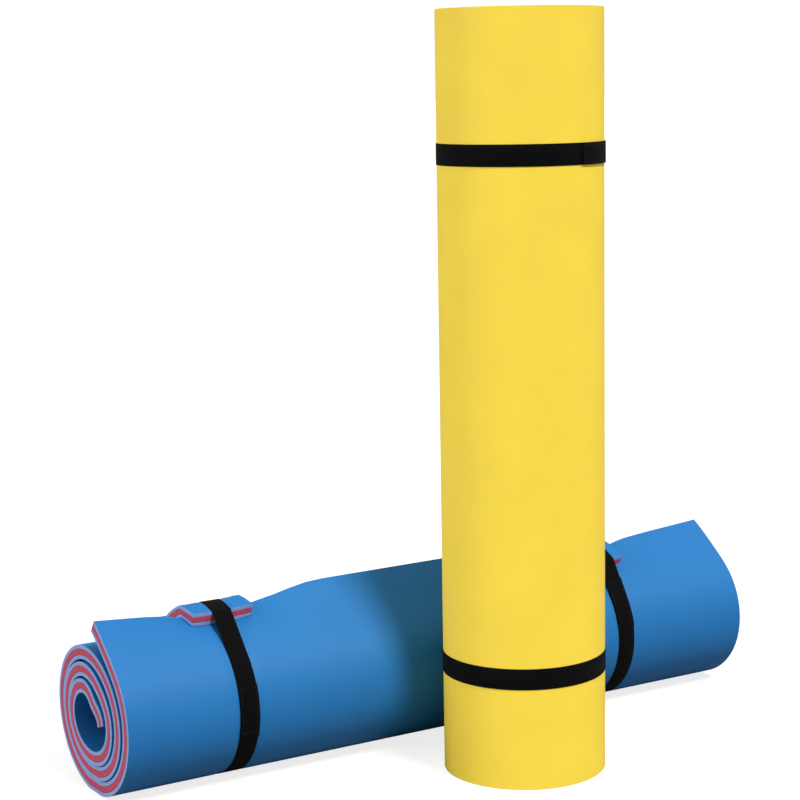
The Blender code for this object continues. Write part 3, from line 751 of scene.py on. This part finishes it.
def wind_roll(roll, tree, lowest, highest):
    """Makes the three plies of a mat. A lying mat's free edge rises from lowest to highest."""
    foam, lying, straps = settings("foam"), settings("lying"), settings("straps")
    lying_sizes = {
        "Oval": lying.oval,
        "Sag": lying.sag,
        "Lowest Rise": lowest,
        "Highest Rise": highest,
        "End Slant": lying.end_slant,
    }
    sizes = {
        "Turns": roll.turns,
        "Start Radius": roll.start_radius,
        "Pitch": roll.pitch,
        "Start Angle": roll.edge_angle - roll.turns * TURN,
        "Tuck Depth": foam.tuck_depth,
        "Tuck Turn": foam.tuck_angle / TURN,
        "Tuck Spread": foam.tuck_spread / TURN,
        "Tuck Kept": foam.tuck_kept,
        "Flap Turns": lying.flap_angle / TURN,
        "Flap Power": lying.flap_power,
        "Sheet Width": foam.sheet_width,
        "Half Thickness": foam.sheet_thickness / 2,
        "Twist": roll.twist,
        "Tip Slant": foam.tip_slant / (TURN * roll.start_radius * foam.sheet_thickness),
        "Stack": foam.sheet_thickness + straps.touch_gap,
        "First Strap": roll.places[0] - roll.end,
        "Second Strap": roll.places[1] - roll.end,
        "Groove Half Width": straps.width / 2 + straps.groove_clearance,
        "Groove Ramp": straps.groove_ramp,
        "Groove Fade": straps.groove_fade / TURN,
        "End": roll.end,
        "Lying": roll.lying,
        **(lying_sizes if roll.lying else dict.fromkeys(lying_sizes, 0.0)),
    }
    depths = ply_depths()

    def wind(name, ply, pole, floor):
        face, cut, _ = foam_finish(roll.name, ply)
        values = {"Face": face, "Cut": cut, "Pole": (*pole, 0.0), "Floor": floor}
        values["Outer Depth"], values["Inner Depth"] = depths[ply]
        values["Groove Depth"] = straps.groove_depth if roll.lying and ply == "outer_skin" else 0.0
        return apply_tree(flat_ply(name, roll, ply), tree, sizes | values)

    # A first winding about the origin shows where the pole must be for the roll to fill its CAD solid
    nowhere = -foam.sheet_length
    trial = wind(f"{roll.name}_trial", "outer_skin", (0.0, 0.0), nowhere)
    found = [roll.in_section(v.co) for v in trial.data.vertices]
    low, high = (roll.in_section(corner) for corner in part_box(f"{roll.name}_mat_outer_skin"))
    pole = Vector((0.0, 0.0))
    pole.x = (low.x + high.x - min(p.x for p in found) - max(p.x for p in found)) / 2
    pole.y = (low.y + high.y - min(p.y for p in found) - max(p.y for p in found)) / 2
    if roll.lying:
        pole.y = -lying.floor_sink - min(p.y for p in found)
    bpy.data.objects.remove(trial)

    for ply in depths:
        node = f"{roll.name}_mat_{ply}"
        piece = wind(f"{node}_foam", ply, pole, 0.0 if roll.lying else nowhere)
        finish_foam(piece, node, f"{roll.name}_mat", foam_finish(roll.name, ply)[-1])
        piece["pole"] = list(pole)


# Measuring a finished roll


def outward_normals(points, closed):
    """Corner normals of a polyline that runs anticlockwise, long enough that moved edges stay parallel."""
    count = len(points)
    edges = []
    for i in range(count if closed else count - 1):
        run = (points[(i + 1) % count] - points[i]).normalized()
        edges.append(Vector((run.y, -run.x)))
    normals = []
    for i in range(count):
        before = edges[i - 1] if closed or i > 0 else edges[0]
        after = edges[i] if closed or i < count - 1 else edges[-1]
        normals.append((before + after) / (1 + before.dot(after)))
    return normals


def convex_hull(points):
    """Corners of the tightest convex outline round the points, anticlockwise, as a taut strap runs."""
    ordered = sorted(points, key=lambda p: (p.x, p.y))

    def half(run):
        kept = []
        for p in run:
            while len(kept) > 1 and (kept[-1] - kept[-2]).cross(p - kept[-2]) <= 0:
                kept.pop()
            kept.append(p)
        return kept[:-1]

    return half(ordered) + half(reversed(ordered))


class Surface:
    """The outer face of a finished roll, felt from outside."""

    def __init__(self, roll):
        piece = bpy.data.objects[f"{roll.name}_mat_outer_skin_foam"]
        self.roll = roll
        self.pole = Vector(piece["pole"])
        self.tree = BVHTree.FromObject(piece, bpy.context.evaluated_depsgraph_get())

    def radius(self, turned, along):
        """Distance of the surface from the pole."""
        far = settings("foam").sheet_width
        start = self.roll.in_room(self.pole + direction(turned) * far, along)
        stop = self.roll.in_room(self.pole, along)
        hit = self.tree.ray_cast(start, stop - start)
        return (self.roll.in_section(hit[0]) - self.pole).length

    def point(self, turned, along):
        """Section point of the surface at an angle."""
        return self.pole + self.radius(turned, along) * direction(turned)


# Pads


class PadShape:
    """The form of the pad under one strap, measured on its roll."""

    def __init__(self, surface, strap, place):
        self.surface = surface
        self.place = place
        self.pads = settings("pads")
        self.shift = getattr(self.pads, f"{strap}_shift", 0.0)
        self.skew = getattr(self.pads, f"{strap}_skew", 0.0)
        radius = surface.radius(surface.roll.edge_at(place) - EDGE_MARGIN, place)
        front = -getattr(self.pads, f"{strap}_over_flap") / radius
        # Angles of the rows from the free edge, front to back
        self.rows = [front + self.pads.width / radius * i / PAD_ROWS for i in range(PAD_ROWS + 1)]
        self.lines = {}

    def underside(self, along):
        """(point, way out) on each row: on the free edge, and behind it falling to the turn below."""
        if along not in self.lines:
            edge = self.surface.roll.edge_at(along) - EDGE_MARGIN
            edge_radius = self.surface.radius(edge, along)
            line = []
            for row in self.rows:
                turned = edge + EDGE_MARGIN + row
                radius = self.surface.radius(turned, along)
                if turned > edge:
                    radius = max(radius, edge_radius * (1 - self.pads.fall_slope * (turned - edge)))
                line.append(self.surface.pole + radius * direction(turned))
            sharp = outward_normals(line, closed=False)
            # Thick foam bends softly, so the way out turns over several rows
            smooth = [
                sum(sharp[max(0, i - PAD_BEND) : i + PAD_BEND + 1], Vector((0.0, 0.0))).normalized()
                for i in range(len(line))
            ]
            self.lines[along] = list(zip(line, smooth))
        return self.lines[along]

    def lift(self, depth, off, row):
        """Height above the underside of a face at a depth, at a distance off the strap, on a row."""
        straps, whole = settings("straps"), settings("foam").sheet_thickness
        held = straps.width / 2 + straps.groove_clearance
        beside = max(0.0, abs(off) - held)
        wing = beside / (self.pads.pad_length / 2 - held)
        pressed = 1 - smooth_step(beside / straps.groove_ramp)
        squashed = self.pads.fold_squash * wing / (1 + (row / self.pads.fold_reach) ** 2)
        height = (whole - depth) * (1 - squashed)
        low = straps.touch_gap + self.pads.wing_gap * wing
        return low + height - self.pads.press * pressed * height / whole

    def face(self, depth):
        """Room points of a face at a depth, row by row."""
        rows = []
        for i in range(len(self.rows)):
            row = []
            for j in range(PAD_COLUMNS + 1):
                off = self.shift + self.skew * i / PAD_ROWS + self.pads.pad_length * (j / PAD_COLUMNS - 0.5)
                base, normal = self.underside(round(self.place + off, PLACE_DIGITS))[i]
                point = base + normal * self.lift(depth, off, self.rows[i])
                row.append(self.surface.roll.in_room(point, self.place + off))
            rows.append(row)
        return rows

    def top_line(self):
        """Section points of the pad's top in the middle of the strap."""
        line = self.underside(self.place)
        return [base + normal * self.lift(0.0, 0.0, row) for row, (base, normal) in zip(self.rows, line)]


def slab(name, upper, lower, materials):
    """A closed slab between two grids of points. Its rim takes the last of its materials."""
    rows, columns = len(upper), len(upper[0])
    points = [p for grid in (upper, lower) for row in grid for p in row]
    under = rows * columns
    faces = []
    for i in range(rows - 1):
        for j in range(columns - 1):
            a, b = i * columns + j, (i + 1) * columns + j
            faces.append((a, b, b + 1, a + 1))
            faces.append((under + a, under + a + 1, under + b + 1, under + b))
    flat = len(faces)
    rim = list(range(columns))
    rim += [i * columns + columns - 1 for i in range(1, rows)]
    rim += [(rows - 1) * columns + j for j in range(columns - 2, -1, -1)]
    rim += [i * columns for i in range(rows - 2, 0, -1)]
    for a, b in zip(rim, rim[1:] + rim[:1]):
        faces.append((a, b, under + b, under + a))
    piece = new_piece(name, points, faces=faces, materials=materials)
    for face in piece.data.polygons[flat:]:
        face.material_index = len(materials) - 1
    return piece


# Straps


class TautPath:
    """The line that a strap takes round its roll and pad."""

    def __init__(self, surface, strap, place):
        bound = [surface.point(TURN * i / TAUT_STEPS, place) for i in range(TAUT_STEPS)]
        bound += PadShape(surface, strap, place).top_line()
        self.corners = convex_hull(bound)
        self.normals = outward_normals(self.corners, closed=True)
        self.lengths = [0.0]
        for i, corner in enumerate(self.corners):
            following = self.corners[(i + 1) % len(self.corners)]
            self.lengths.append(self.lengths[-1] + (following - corner).length)
        self.girth = self.lengths[-1]

    def nearest(self, point):
        """The distance along the path at which it passes nearest to a section point."""
        found = []
        for i, corner in enumerate(self.corners):
            run = self.corners[(i + 1) % len(self.corners)] - corner
            share = min(1.0, max(0.0, (point - corner).dot(run) / run.length_squared))
            found.append(((corner + run * share - point).length, self.lengths[i] + share * run.length))
        return min(found)[1]

    def point(self, distance, offset):
        """A section point at a distance along the path, moved out by an offset."""
        distance %= self.girth
        i = max(k for k, reached in enumerate(self.lengths[:-1]) if reached <= distance)
        share = (distance - self.lengths[i]) / (self.lengths[i + 1] - self.lengths[i])
        j = (i + 1) % len(self.corners)
        low = self.corners[i] + self.normals[i] * offset
        return low.lerp(self.corners[j] + self.normals[j] * offset, share)


class StrapRun:
    """Where the pieces of one strap lie on their path, from its hinge and its CAD solids."""

    def __init__(self, surface, strap):
        straps = settings("straps")
        roll = surface.roll
        self.name = f"{roll.name}_{strap}_strap"
        self.roll = roll
        self.place = strap_place(roll.name, strap)
        self.path = TautPath(surface, strap, self.place)
        self.body, self.tab_body = STRAP_BODIES[strap]
        hinge = next(j for j in frame["joints"] if j["child"] == self.tab_body)
        low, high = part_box(f"{self.name}_tab")
        self.root = self.path.nearest(roll.in_section(Vector(hinge["pos_m"])))
        middle = self.path.nearest(roll.in_section((low + high) / 2))
        ahead = (middle - self.root) % self.path.girth
        self.turn = 1 if ahead < self.path.girth / 2 else -1
        # Undersides of the pieces, which lie on each other
        self.low = {"band": straps.touch_gap}
        self.low["loop_patch"] = self.low["band"] + straps.thickness + straps.touch_gap
        self.low["hook_patch"] = self.low["loop_patch"] + straps.patch_thickness + straps.touch_gap
        self.low["tab"] = self.low["hook_patch"] + straps.patch_thickness + straps.touch_gap

    def line(self, start, stop, height, side=0.0):
        """Room points from start to stop, measured from the tab's root. height gives the offset at each."""
        count = max(2, math.ceil(abs(stop - start) / STRIP_STEP))
        points = []
        for i in range(count + 1):
            gone = start + (stop - start) * i / count
            point = self.path.point(self.root + self.turn * gone, height(gone))
            points.append(self.roll.in_room(point, self.place + side))
        return points

    def height(self, suffix, gone):
        """Underside of a piece. The tab climbs from the band's own level on to the patches."""
        if suffix != "tab":
            return self.low[suffix]
        band = self.low["band"]
        return band + (self.low["tab"] - band) * smooth_step(gone / settings("straps").step)


def webbing_tree():
    """Node tree that weaves a flat strip along a line, with its length and width as its UV map."""
    sizes = {"Width": "Float", "Thickness": "Float", "Axis": "Vector", "Material": "Material"}
    tree, add, size, made = new_tree("strip along a line", {"Geometry": "Geometry", **sizes}, "Geometry")
    store = "GeometryNodeStoreNamedAttribute"
    line = add("GeometryNodeMeshToCurve", {"Mesh": size["Geometry"]})
    gone = add("GeometryNodeSplineParameter").outputs["Length"]
    line = add(store, {"Geometry": line, "Name": "gone", "Value": gone}, data_type="FLOAT")
    line = add("GeometryNodeSetCurveNormal", {"Curve": line, "Normal": size["Axis"]}, mode="FREE")
    outline = {"Width": size["Width"], "Height": size["Thickness"]}
    strip = add("GeometryNodeCurvePrimitiveQuadrilateral", outline, mode="RECTANGLE")
    rounding = add("MULTIPLY", (size["Thickness"], EDGE_ROUNDING))
    strip = add("GeometryNodeFilletCurve", {"Curve": strip, "Count": 2, "Radius": rounding}, mode="POLY")
    side = add("ShaderNodeSeparateXYZ", (add("GeometryNodeInputPosition"),)).outputs["X"]
    strip = add(store, {"Geometry": strip, "Name": "side", "Value": side}, data_type="FLOAT")
    woven = add("GeometryNodeCurveToMesh", {"Curve": line, "Profile Curve": strip, "Fill Caps": True})
    named = "GeometryNodeInputNamedAttribute"
    read = [add(named, {"Name": name}, data_type="FLOAT") for name in ("gone", "side")]
    cloth = {"Geometry": woven, "Name": "UVMap", "Value": add("ShaderNodeCombineXYZ", read)}
    woven = add(store, cloth, data_type="FLOAT2", domain="CORNER")
    for name in ("gone", "side"):
        woven = add("GeometryNodeRemoveAttribute", {"Geometry": woven, "Name": name})
    feed(made, (add("GeometryNodeSetMaterial", {"Geometry": woven, "Material": size["Material"]}),))
    return tree


def stitch_tree():
    """Node tree that sews stitches along lines."""
    sizes = {"Pitch": "Float", "Stitch Length": "Float", "Thread": "Float", "Material": "Material"}
    tree, add, size, made = new_tree("stitches along lines", {"Geometry": "Geometry", **sizes}, "Geometry")
    lines = add("GeometryNodeMeshToCurve", {"Mesh": size["Geometry"]})
    lines = add("GeometryNodeResampleCurve", {"Curve": lines, "Length": size["Pitch"]}, mode="LENGTH")
    ball = {"Segments": STITCH_SEGMENTS, "Rings": STITCH_RINGS, "Radius": 0.5}
    knot = add("GeometryNodeMeshUVSphere", ball)
    long_thin = add("ShaderNodeCombineXYZ", (size["Stitch Length"], size["Thread"], size["Thread"]))
    stitch = add("GeometryNodeTransform", {"Geometry": knot, "Scale": long_thin})
    run = add("GeometryNodeInputTangent")
    turned = add("FunctionNodeAlignRotationToVector", {"Vector": run}, axis="X")
    sewing = {"Points": lines, "Instance": stitch, "Rotation": turned}
    sewn = add("GeometryNodeRealizeInstances", (add("GeometryNodeInstanceOnPoints", sewing),))
    feed(made, (add("GeometryNodeSetMaterial", {"Geometry": sewn, "Material": size["Material"]}),))
    return tree


def lines_piece(name, lines):
    """An object of edges along some lines of points."""
    points = []
    edges = []
    for line in lines:
        edges += [(len(points) + i, len(points) + i + 1) for i in range(len(line) - 1)]
        points += line
    return new_piece(name, points, edges=edges)


def weave(run, suffix, tree, start, stop):
    """One flat strip of a strap, standing for its CAD node."""
    straps = settings("straps")
    kind, width, thickness = "webbing", straps.width, straps.thickness
    if suffix.endswith("patch"):
        kind, width, thickness = "patch", straps.width - straps.patch_inset, straps.patch_thickness
    line = run.line(start, stop, lambda gone: run.height(suffix, gone) + thickness / 2)
    sizes = {"Width": width, "Thickness": thickness, "Axis": run.roll.axis, "Material": finish(kind)}
    piece = apply_tree(lines_piece(f"{run.name}_{suffix}_woven", [line]), tree, sizes)
    point_faces_out(piece)
    piece.data.shade_smooth()
    piece.data.set_sharp_from_angle(angle=SHARP_ANGLE)
    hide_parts(f"{run.name}_{suffix}")
    return piece


def sew(run, tree, start, stop):
    """The stitches round a patch that lies from start to stop, seen on the tab's outer face."""
    straps, seams = settings("straps"), settings("stitches")
    side = (straps.width - straps.patch_inset) / 2 - seams.inset
    top = run.low["tab"] + straps.thickness
    first, last = start + seams.inset, stop - seams.inset
    rows = [run.line(first, last, lambda gone: top, across) for across in (-side, side)]
    ends = [
        [rows[0][k].lerp(rows[1][k], i / SEAM_STEPS) for i in range(SEAM_STEPS + 1)] for k in (0, -1)
    ]
    sizes = {"Pitch": seams.pitch, "Stitch Length": seams.stitch_length, "Thread": seams.thread}
    piece = lines_piece(f"{run.name}_tab_seams", [*rows, *ends])
    apply_tree(piece, tree, {**sizes, "Material": finish("thread")})
    piece.data.shade_smooth()
    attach(piece, run.tab_body)


class SWIMMAT_OT_wind_mats(bpy.types.Operator):
    """Wind the two mats from flat laminated foam"""

    bl_idname = "swim_mat.wind_mats"
    bl_label = "Wind mats"

    def execute(self, context):
        blue, yellow = Roll("blue"), Roll("yellow")
        knots = rise_knots(blue)
        lowest, highest = min(rise for _, rise in knots), max(rise for _, rise in knots)
        reach = highest - lowest
        tree = winding_tree([(along / blue.width, (rise - lowest) / reach) for along, rise in knots])
        wind_roll(blue, tree, lowest, highest)
        wind_roll(yellow, tree, lowest, highest)
        return {"FINISHED"}


class SWIMMAT_OT_lay_pads(bpy.types.Operator):
    """Lay a laminated foam pad over the free edge under each strap"""

    bl_idname = "swim_mat.lay_pads"
    bl_label = "Lay pads"

    def execute(self, context):
        for roll_name, straps in STRAPS.items():
            roll = Roll(roll_name)
            surface = Surface(roll)
            for strap, place in zip(straps, roll.places):
                shape = PadShape(surface, strap, place)
                for ply, (outer, inner) in ply_depths().items():
                    node = f"{roll_name}_{strap}_pad_{ply}"
                    face, cut, slot = foam_finish(roll_name, ply)
                    colours = [face] if ply == "core" else [face, cut]
                    piece = slab(f"{node}_foam", shape.face(outer), shape.face(inner), colours)
                    finish_foam(piece, node, STRAP_BODIES[strap][0], slot)
        return {"FINISHED"}


class SWIMMAT_OT_run_straps(bpy.types.Operator):
    """Run the straps round the rolls and sew on their patches"""

    bl_idname = "swim_mat.run_straps"
    bl_label = "Run straps"

    def execute(self, context):
        straps = settings("straps")
        strip, stitches = webbing_tree(), stitch_tree()
        patch = (straps.step + 2 * straps.patch_inset, straps.lap - straps.patch_inset)
        for roll_name, names in STRAPS.items():
            surface = Surface(Roll(roll_name))
            for strap in names:
                run = StrapRun(surface, strap)
                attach(weave(run, "band", strip, straps.step, run.path.girth), run.body)
                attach(weave(run, "loop_patch", strip, *patch), run.body)
                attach(weave(run, "hook_patch", strip, *patch), run.tab_body)
                tab = weave(run, "tab", strip, 0.0, straps.lap)
                bent = run.line(0.0, straps.step, lambda gone: run.low["band"])
                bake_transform(tab)
                sew(run, stitches, *patch)
        return {"FINISHED"}


class SWIMMAT_OT_set_stage(bpy.types.Operator):
    """Set the camera, lamps and white floor"""

    bl_idname = "swim_mat.set_stage"
    bl_label = "Set stage"

    def execute(self, context):
        stage = settings("stage")
        self.aim_camera(context, stage)
        for lamp in ("key", "side", "top"):
            self.hang_lamp(context, stage, lamp)
        self.light_room(context, stage)
        reach = FLOOR_REACH * settings("foam").sheet_width
        corners = [(-reach, -reach, 0), (reach, -reach, 0), (reach, reach, 0), (-reach, reach, 0)]
        floor = new_piece("floor", corners, faces=[(0, 1, 2, 3)], materials=[self.floor_material(stage)])
        context.scene.view_settings.view_transform = "Standard"
        return {"FINISHED"}

    def aim_camera(self, context, stage):
        """The camera, from its place, its heading, pitch and roll, and its lens."""
        camera_data = bpy.data.cameras.new("camera")
        camera_data.sensor_width = SENSOR_WIDTH
        camera_data.lens = stage.lens
        camera = bpy.data.objects.new("camera", camera_data)
        context.scene.collection.objects.link(camera)
        context.scene.camera = camera
        flat = Vector((math.sin(stage.heading), math.cos(stage.heading), 0))
        ahead = flat * math.cos(stage.pitch) - Vector((0, 0, math.sin(stage.pitch)))
        right = flat.cross(Vector((0, 0, 1)))
        up = right.cross(ahead)
        turned = right * math.cos(stage.roll) + up * math.sin(stage.roll)
        risen = up * math.cos(stage.roll) - right * math.sin(stage.roll)
        facing = Matrix((turned, risen, -ahead)).transposed().to_4x4()
        camera.matrix_world = Matrix.Translation(stage.eye) @ facing

    def light_room(self, context, stage):
        """Even light from all sides, which the camera sees as a white background."""
        world = bpy.data.worlds.new("studio")
        context.scene.world = world
        world.use_nodes = True
        world.node_tree.nodes.clear()
        add = partial(add_node, world.node_tree)
        rays = add("ShaderNodeLightPath").outputs
        seen = add("MAXIMUM", (rays["Is Camera Ray"], rays["Is Transmission Ray"]))
        light = add("ShaderNodeMapRange", {"Value": seen, "To Min": stage.fill_power, "To Max": 1.0})
        sky = add("ShaderNodeBackground", {"Color": linear(WHITE), "Strength": light})
        add("ShaderNodeOutputWorld", {"Surface": sky})

    def hang_lamp(self, context, stage, name):
        """A distant soft lamp, from its heading, height, spread and power."""
        data = bpy.data.lights.new(name, "SUN")
        data.energy = getattr(stage, f"{name}_power")
        data.angle = getattr(stage, f"{name}_spread")
        lamp = bpy.data.objects.new(name, data)
        context.scene.collection.objects.link(lamp)
        heading, height = getattr(stage, f"{name}_heading"), getattr(stage, f"{name}_height")
        level = math.cos(height)
        towards = Vector((math.sin(heading) * level, -math.cos(heading) * level, math.sin(height)))
        lamp.rotation_mode = "QUATERNION"
        lamp.rotation_quaternion = towards.to_track_quat("Z", "Y")

    def floor_material(self, stage):
        """White studio floor: the camera sees it lightened, so that it is white but keeps soft shadows."""
        material, add, shader = new_material("studio_floor")
        feed(shader, {"Base Color": linear(FLOOR_GREY), "Roughness": 0.9})
        seen = add("ShaderNodeLightPath").outputs["Is Camera Ray"]
        glow = add("MULTIPLY", (seen, stage.floor_glow))
        white = add("ShaderNodeEmission", {"Color": linear(WHITE), "Strength": glow})
        both = add("ShaderNodeAddShader", (shader, white))
        feed(material.node_tree.nodes["Material Output"], {"Surface": both})
        return material


OPERATORS = (SWIMMAT_OT_wind_mats, SWIMMAT_OT_lay_pads, SWIMMAT_OT_run_straps, SWIMMAT_OT_set_stage)


class SWIMMAT_PT_panel(bpy.types.Panel):
    """Sizes, colours and steps of the rolled mats"""

    bl_label = "Swim mats"
    bl_idname = "SWIMMAT_PT_panel"
    bl_space_type = "VIEW_3D"
    bl_region_type = "UI"
    bl_category = "Swim mats"

    def draw(self, context):
        for operator in OPERATORS:
            self.layout.operator(operator.bl_idname)
        for name, group in SETTINGS.items():
            box = self.layout.box()
            box.label(text=group.__doc__)
            for key in group.__annotations__:
                box.prop(getattr(context.scene, name), key)


def register():
    for group in (*SETTINGS.values(), *OPERATORS, SWIMMAT_PT_panel):
        bpy.utils.register_class(group)
    for name, group in SETTINGS.items():
        setattr(bpy.types.Scene, name, PointerProperty(type=group))


def unregister():
    for name in SETTINGS:
        delattr(bpy.types.Scene, name)
    for group in reversed((*SETTINGS.values(), *OPERATORS, SWIMMAT_PT_panel)):
        bpy.utils.unregister_class(group)


def main():
    register()
    bpy.ops.swim_mat.wind_mats()
    bpy.ops.swim_mat.lay_pads()
    bpy.ops.swim_mat.run_straps()
    bpy.ops.swim_mat.set_stage()


if __name__ == "__main__":
    main()
